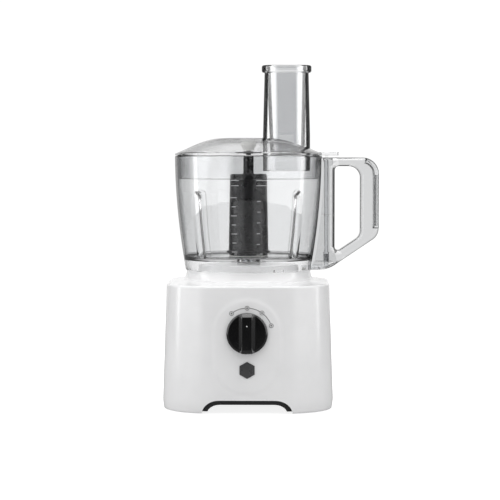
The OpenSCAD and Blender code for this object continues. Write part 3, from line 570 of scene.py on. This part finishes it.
def flow(a, z):
    """Depth of the four upright ribs inside the wall."""
    best = 0.0
    top, end, deep = 258, 5.5, 5.4
    for k in range(4):
        centre = math.pi / 4 + k * math.pi / 2
        off = (a - centre + math.pi) % (2 * math.pi) - math.pi
        wide = 5.2 + (top - z) * 0.012
        x = abs(off) * 78 / wide
        up = (z - (top - end)) / end
        d = math.hypot(x, max(0.0, up))
        if d < 1:
            best = max(best, deep * math.sqrt(1 - d * d) ** 0.9)
    return best


def ribbed(a, q, z):
    """How far the ribs move a point of the inner wall, or of the floor beside it, inwards."""
    on_wall = FLOOR_Z + 0.2 < z < 262 and abs(q - (bowl_r(z) - WALL)) < 0.6
    if on_wall or (FLOOR_Z <= z <= FLOOR_Z + 2.5 and 66 < q < 77):
        return -flow(a, max(z, FLOOR_Z)) * min(1.0, max(0.0, (q - 66) / 6))
    return 0.0


def vessel():
    """The turned part of the bowl, with its foot and the tube in the middle of its floor."""
    low, steps = BOWL_LOW, 40
    outer = [(bowl_r(low) - 1.2, low), (bowl_r(low) - 0.3, low + 0.3), (bowl_r(low + 1.2), low + 1.2)]
    outer += [(bowl_r(z), z) for z in [low + 2 + (299.6 - low - 2) * i / steps for i in range(1, steps + 1)]]
    rim = [(88.95, 300.4), (88.5, 300.9), (87.6, 301), (86.9, 300.7), (86.5, 300)]
    inner_low, corner = 182.4, 2.4
    inner = [(bowl_r(z) - WALL, z) for z in [299 - (299 - inner_low) * i / 56 for i in range(57)]]
    inner += arc((bowl_r(inner_low) - WALL - corner, inner_low), corner, -8, -90, 6)
    inner += [(60, 180), (30, 180), (15.5, 180), (13.6, 180.5), (12.5, 182.5), (12, 220.5), (11.6, 221.6),
              (10.6, 222), (9.9, 221.8), (9.5, 221), (9.5, 178.2), (9.9, 177.5)]
    under = [(30, 177.5), (60, 177.5), (bowl_r(177.5) - 3.6, 177.5), (bowl_r(176.4) - 2.7, 176.4),
             (bowl_r(170) - 2.5, 170), (bowl_r(low) - 2.3, low + 0.4), (bowl_r(low) - 2.0, low)]
    return tool(*lathe(outer + rim + inner + under, 288, ribbed))


def handle_shape():
    """The hollow handle and bracket, with the finger hole, the seat of the grip cover and the rod's shaft."""
    low, top, thick = 163.6, 299.0, 14.0
    outline = [(72, top)] + arc(GRIP_AT, 19.5, 90, 0, 20) + arc((141, 213.6), 16, 0, HOLE_SLOPE, 14)
    outline += arc(HEEL_AT, 35, HOLE_SLOPE, -90, 12) + [(72, low)]
    edge = ((0, 5.2), (0.4, 3.5), (1.2, 2.1), (2.6, 0.9), (4.2, 0.25), (6.2, 0))
    section = [(d - thick, q) for d, q in edge] + [(thick - d, q) for d, q in edge[::-1]]
    handle = tool(*loft([[(x, y, z) for x, z in shrink(outline, inset)] for y, inset in section]))
    hole = arc((109, 283.6), 5, 180, 90, 8) + arc((120.5, 274.6), 14, 90, 0, 14)
    hole += arc((122.5, 210.8), 12, 0, HOLE_SLOPE, 10) + arc((108, 191.4), 4, HOLE_SLOPE, -180, 10)
    hole_section = [(-16, 5.2)] + section + [(16, 5.2)]
    cuts = [tool(*loft([[(x, y, z) for x, z in shrink(hole, -inset)] for y, inset in hole_section]))]
    envelope = [(0, 150)] + [(bowl_r(z) - 0.9, z) for z in range(150, 300, 6)] + [(88.1, 310), (0, 310)]
    cuts.append(tool(*lathe(envelope, 192)))
    cavity = [(bowl_r(z) + 2.4, z) for z in (170, 190, 210, 240, 270, 296)]
    cavity += [(101.6, 296), (101.6, 192)] + arc(HEEL_AT, 32.6, -48, -86, 8)
    cuts.append(tool(*prism(rounded(cavity, [1.5] * len(cavity), 2), -11.5, 11.5)))
    band = arc(GRIP_AT, 24, 78, 0, 14) + [(162, 213.4), (149.6, 213.4)] + arc(GRIP_AT, 12.1, 0, 78, 14)
    cuts.append(tool(*prism(band, -20, 20)))
    cuts.append(tool(*prism([(89.5, 293.6), (98.5, 293.6), (98.5, 302), (89.5, 302)], -3.4, 20)))
    combine(handle, cuts, "DIFFERENCE", clear_grip, 30)
    shelves = []
    for x, z in ((78, 172.4), (86, 229), (86, 287)):
        shelf = tool(*prism([(x, z), (102.4, z), (102.4, z + 1.2), (x, z + 1.2)], -12, 12))
        shelves.append(combine(shelf, [tool(*lathe(envelope, 96))], "DIFFERENCE", clear_grip))
    combine(handle, shelves, "UNION", clear_grip, 30)
    verts, faces = lathe([(0, 171), (2.8, 171), (2.8, 305), (0, 305)], 32)
    shaft = tool([(x + ROD_X, y, z) for x, y, z in verts], faces)
    return combine(handle, [shaft], "DIFFERENCE", clear_grip, 30)


def bowl_look(face):
    """Material slot of a face of the bowl: wall, grip, flat, bracket, edge or side of the finger hole. The
    edge and the side slots carry painted shade as dark lines.
    """
    x, y, z = face.center / MM
    if x > 112:
        return 1
    if x > 90.5:
        # the side of the finger hole gets the painted dark line
        beside_hole = 99 < x < 107 and 192 < z < 285 and face.normal.x > 0.25 and abs(face.normal.y) > 0.25
        return 5 if beside_hole else 3
    # painted dark lines on the rim top and in the corner where the floor meets the wall
    if z > 300.5 or 180.05 < z < 181 and math.hypot(x, y) > 69:
        return 4
    if z < 177 or z < 184 and abs(face.normal.z) > 0.3:
        return 2
    return 0


def build_bowl():
    bowl = vessel()
    combine(bowl, [handle_shape()], "UNION", clear_wall, 30)
    slit = tool(*prism([(66, 164.4), (97, 164.4), (97, 172), (84, 172), (84, 173.9), (66, 173.9)], -4.6, 4.6))
    lugs = []
    for turn in (60, 180, 300):
        c, s = math.cos(math.radians(turn)), math.sin(math.radians(turn))
        verts, faces = prism([(70.8, 164.2), (74.8, 164.2), (74.8, 166.8), (70.8, 166.8)], -6, 6)
        lugs.append(tool([(x * c - y * s, x * s + y * c, z) for x, y, z in verts], faces))
    combine(bowl, lugs, "UNION", clear_wall, 30)
    combine(bowl, [slit], "DIFFERENCE", clear_wall, 30)
    bowl.name = "bowl_body"
    also(bowl, clear_grip, clear_flat, clear_bracket, clear_edge_painted_shade, clear_side_painted_shade)
    for face in bowl.data.polygons:
        face.material_index = bowl_look(face)
    even_normals(bowl)
    place(bowl, "bowl", ["bowl", "bowl_handle"])


def build_cover():
    band = arc(GRIP_AT, 19.5, 78, 0, 16) + [(157, 213.8), (149.9, 213.8)] + arc(GRIP_AT, 12.4, 0, 78, 16)
    edge = ((14, 2.6), (13.7, 1.6), (13.0, 0.8), (12.0, 0.3), (10.6, 0))
    section = [(-y, inset) for y, inset in edge] + list(edge[::-1])
    cover = tool(*loft([[(x, y, z) for x, z in shrink(band, inset)] for y, inset in section]))
    pocket = tool(*prism([(148, 217), (154.2, 217), (154.2, 278), (148, 278)], -11.5, 11.5))
    combine(cover, [pocket], "DIFFERENCE", clear_grip, 30)
    cover.name = "grip_cover"
    even_normals(cover)
    place(cover, "bowl", ["handle_cover"])


# ---------- drive spindle ----------

def build_spindle():
    column = rounded([(0, 313), (3, 313), (3, 303), (6.2, 303), (6.2, 281.2), (7.4, 280), (21.2, 280),
                      (22.3, 278.2), (24, 188.2), (24.4, 186.8), (26.5, 186.6), (26.5, 184.2), (21.7, 184.2),
                      (20.3, 277.4), (10.5, 277.4), (10.5, 224), (6.35, 224), (6.35, 247), (0, 247)],
                     [0, 0.8, 0.2, 0.6, 0.3, 0.3, 1.0, 1.2, 2, 0.6, 0.5, 0.5, 0.3, 0.3, 0.3, 0.3, 0.3, 0.3,
                      0], 3)
    spindle = tool(*lathe(column, 160))
    parts = []
    foot = ((20.8, 181.4), (22.9, 181.4), (23.6, 182.2), (25, 184.9), (21.2, 184.9))
    for turn in range(-35, 325, 90):
        angles = [math.radians(turn + 70 * i / 14) for i in range(15)]
        parts.append(tool(*loft([[(q * math.cos(a), q * math.sin(a), z) for q, z in foot] for a in angles])))
    for middle in (-5.55, 5.55):                    # keys that the flats of the shaft turn
        x, y0, y1 = 1.6, middle - 1.15, middle + 1.15
        parts.append(tool(*loft([[(-x, y0, z), (x, y0, z), (x, y1, z), (-x, y1, z)] for z in (229, 247.4)])))
    combine(spindle, parts, "UNION", spindle_black, 30)
    spindle.name = "spindle_column"
    even_normals(spindle)
    place(spindle, "spindle", ["drive_spindle"])


# ---------- lid with its feed tube, and pusher ----------

LID_R, LID_Z, DOME_H = 89, 304, 18.5
TUBE_X = 45.9
TAPER, TAPER_Z = 1.9, 326           # how much the feed tube draws in, and from where


def dome_z(r):
    """Height of the lid's upper face at a radius."""
    if r >= LID_R:
        return float(LID_Z)
    return LID_Z + DOME_H * math.sin(math.radians(90 * min(1.0, (LID_R - r) / 59))) ** 1.15


def tube_ring(inset, z, lean=0.0):
    return rect_ring(28.5 - inset, 24 - inset, 20 - inset, z, 16, TUBE_X + lean)


def tapering(inset):
    """Rings up the part of the feed tube that draws in."""
    return [tube_ring(inset + TAPER * i / 6, TAPER_Z + 75 * i / 6) for i in range(1, 6)]


def lid_look(x, y, z):
    """Material slot of a face of the lid by its middle: dome, tube, tab, skirt or the skirt's lower edge,
    which carries a painted dark line.
    """
    dome = dome_z(math.hypot(x, y))
    if 17 < x < 75 and abs(y) < 24.5 and (z > dome + 0.8 or z < dome - 4):
        return 1
    if x > 90:
        return 2
    if z < 301.5:
        # the skirt's lower edge gets the painted dark line
        return 4 if z < 274.1 else 3
    return 0


def build_lid():
    top = [(LID_R * (i / 44), dome_z(LID_R * (i / 44))) for i in range(44)]
    top += [(88.9, 304.0), (89, 303.4), (89, 302), (88.6, 301.5), (88, 301.4)]
    skirt = [(86, 301.4), (85.4, 301.0), (85.2, 300), (85.2, 274.2), (84.9, 273.6), (84.1, 273.5),
             (83.2, 273.6), (82.9, 274.2), (82.9, 300)]
    inside = [(82.6 * (1 - i / 40), dome_z(82.6 * (1 - i / 40)) - 2.4) for i in range(41)]
    lid = tool(*lathe(top + skirt + inside, 256))
    rings = []
    for z, c in ((301.6, 0.5), (302.1, 0), (304.8, 0), (305.3, 0.5)):
        rings.append([(x, y, z) for x, y in ((84, -11 + c), (107.6, -11 + c), (109 - c, -9.4), (109 - c, 9.4),
                                             (107.6, 11 - c), (84, 11 - c))])
    tab = tool(*loft(rings))
    tube = tool(*loft([tube_ring(0.4, 283.5), tube_ring(0, 284), tube_ring(0, TAPER_Z)] + tapering(0)
                      + [tube_ring(1.9, 400.5), tube_ring(2.4, 401)]))
    combine(lid, [tab, tube], "UNION", clear_lid, 30)
    bore = tool(*loft([tube_ring(1.9, 280), tube_ring(2.0, 283.8), tube_ring(2.4, 284.4),
                       tube_ring(2.4, TAPER_Z)] + tapering(2.4)
                      + [tube_ring(4.3, 400.4), tube_ring(3.9, 401), tube_ring(3.9, 404)]))
    nose = tool(*loft([[(92.3, 0.2, z), (96.3, 0.2, z), (96.3, 5, z), (92.3, 5, z)] for z in (294.3, 302.5)]))
    combine(lid, [nose], "UNION", clear_lid, 30)
    combine(lid, [bore], "DIFFERENCE", clear_lid, 30)
    lid.name = "lid_body"
    also(lid, clear_tube, clear_bracket, clear_flat, clear_edge_painted_shade)
    for face in lid.data.polygons:
        face.material_index = lid_look(*(face.center / MM))
    even_normals(lid)
    place(lid, "lid", ["lid", "feed_tube"])


def build_pusher():
    play, low_in = 4.8, 7.9         # how much smaller than the feed tube it is, at its top and its low end
    lean = 1.2                      # sideways lean of the low end
    top, low = 401.4, 300

    def ring(inset, z):
        return tube_ring(inset, z, lean=lean * max(0.0, top - z) / (top - low))

    outer = [ring(low_in + 2.4, low), ring(low_in + 0.7, low + 0.5), ring(low_in, low + 2)]
    for i in range(1, 9):
        t = (i / 8 * (top - low - 2) + 2) / (top - low)
        outer.append(ring(low_in + (play - low_in) * t, low + (top - low) * t))
    outer = outer[:-1] + [ring(*q) for q in (
        (play, 400.4), (play, 407.6), (1.2, 407.6), (0.7, 407), (0.3, 402.2), (-0.1, 401.5), (-0.7, 401.4),
        (-1.2, 401.9), (-1.5, 402.9), (-1.5, 407.6), (-1.1, 408.8), (-0.2, 409.5), (0.9, 409.6), (2.4, 409.6),
        (3.3, 409.2))]
    inner = [ring(play + 1.0, 408.6), ring(play + 1.7, 406)]
    for i in range(1, 9):
        t = i / 8
        inner.append(ring(play + 1.7 + (low_in + 0.5 - play) * t, 406 + (low + 4.4 - 406) * t))
    inner += [ring(low_in + 2.8, low + 2.9), ring(low_in + 4.4, low + 2.2)]
    verts, faces = loft(outer + inner)
    pusher = make("pusher_body", verts, faces, clear_tube, "pusher", 30, "clear_plastic", ["pusher"])
    even_normals(pusher)


build_base()
build_knob()
build_bowl()
build_cover()
build_spindle()
build_lid()
build_pusher()


# ---------- stage, lights and camera ----------

stage_white, nt, s = new_material("stage_white")
where = coordinates(nt)
shade = nt.nodes.new("ShaderNodeMix")
shade.data_type = "RGBA"
shade.inputs["B"].default_value = (0.2, 0.2, 0.2, 1)
nt.links.new(nt.nodes.new("ShaderNodeLightPath").outputs["Is Glossy Ray"], shade.inputs["Factor"])
nt.links.new(two_tone(nt, noise(nt, where, 3), (0.5, 0.5, 0.5), (0.52, 0.52, 0.52)), shade.inputs["A"])
nt.links.new(shade.outputs["Result"], s.inputs["Base Color"])
s.inputs["Roughness"].default_value = 0.9
s.inputs["Specular IOR Level"].default_value = 0.0
s.inputs["Emission Color"].default_value = (1, 1, 1, 1)
path = nt.nodes.new("ShaderNodeLightPath").outputs
unreflected = spread(nt, path["Glossy Depth"], 1.0, 0.0, 0.0, 1.0)
straight = maths(nt, "MULTIPLY", path["Is Transmission Ray"], unreflected)
seen = maths(nt, "MAXIMUM", path["Is Camera Ray"], straight)
nt.links.new(spread(nt, seen, 0.1, 0.85, 0.0, 1.0), s.inputs["Emission Strength"])
floor = make("floor", *lathe([(0, 0), (600, 0), (1500, 0), (1500, -50), (0, -50)], 96), stage_white, None)

world = bpy.data.worlds.new("studio")
scene.world = world
world.use_nodes = True
nt = world.node_tree
nt.nodes.remove(nt.nodes["Background"])
path = nt.nodes.new("ShaderNodeLightPath")
split = nt.nodes.new("ShaderNodeSeparateXYZ")
nt.links.new(nt.nodes.new("ShaderNodeTexCoord").outputs["Generated"], split.inputs[0])


def glow(value):
    """White background of one brightness, or of a brightness that a socket gives."""
    n = nt.nodes.new("ShaderNodeBackground")
    n.inputs["Color"].default_value = (1, 1, 1, 1)
    if isinstance(value, float):
        n.inputs["Strength"].default_value = value
    else:
        nt.links.new(value, n.inputs["Strength"])
    return n.outputs[0]


def choose(flag, no, yes):
    n = nt.nodes.new("ShaderNodeMixShader")
    nt.links.new(path.outputs[flag], n.inputs[0])
    nt.links.new(no, n.inputs[1])
    nt.links.new(yes, n.inputs[2])
    return n.outputs[0]


# The surround is white where it is seen straight or through the clear parts. What reflects it meets a
# gentler one: bright above and behind, dimmer to the sides and darkest in front.
overhead = spread(nt, split.outputs["Z"], 0.03, 0.8, 0.3, 0.95)
behind = spread(nt, split.outputs["Y"], 0.03, 0.9, 0.7, 0.99)
aside = maths(nt, "ABSOLUTE", split.outputs["X"])
level = maths(nt, "MAXIMUM", aside, maths(nt, "ABSOLUTE", split.outputs["Y"]))
through = spread(nt, level, 0.6, 1.05, 0.72, 0.985)
across = spread(nt, aside, 0.0, 2.2, 0.36, 0.6)
sides = maths(nt, "MULTIPLY", across, spread(nt, split.outputs["Y"], 1.0, 0.0, 0.05, 0.3))
reflected = maths(nt, "MAXIMUM", maths(nt, "MAXIMUM", overhead, behind), sides)
surround = choose("Is Glossy Ray", glow(0.84), glow(reflected))
surround = choose("Is Transmission Ray", surround, choose("Glossy Depth", glow(through), glow(reflected)))
surround = choose("Is Camera Ray", surround, glow(1.05))
nt.links.new(surround, nt.nodes["World Output"].inputs["Surface"])


def softbox(name, at, size, power):
    """A lamp aimed at the object, seen only in reflections and as the light it gives."""
    data = bpy.data.lights.new(name, "AREA")
    data.shape = "RECTANGLE"
    data.size, data.size_y = size
    data.energy = power
    lamp = bpy.data.objects.new(name, data)
    scene.collection.objects.link(lamp)
    lamp.location = at
    lamp.rotation_euler = (Vector((0, 0, 0.2)) - Vector(at)).to_track_quat("-Z", "Y").to_euler()
    lamp.visible_camera = False
    lamp.visible_transmission = False
    return lamp


softbox("box_left", (-1.6, -0.05, 0.5), (0.25, 1.5), 4.5)
softbox("box_right", (1.6, 0.05, 0.5), (0.25, 1.5), 3.5).visible_diffuse = False
softbox("box_top", (0.1, -0.3, 1.8), (1.2, 1.2), 15)

camera_data = bpy.data.cameras.new("camera")
camera_data.sensor_width = 36
camera_data.lens = 130.9
camera_data.clip_start = 0.05
camera_data.clip_end = 100
camera = bpy.data.objects.new("camera", camera_data)
scene.collection.objects.link(camera)
camera.location = (0.0384, -2.2, 0.302)
camera.rotation_euler = (Vector((0.0018, 0, 0.187)) - camera.location).to_track_quat("-Z", "Y").to_euler()
scene.camera = camera
scene.view_settings.view_transform = "Standard"
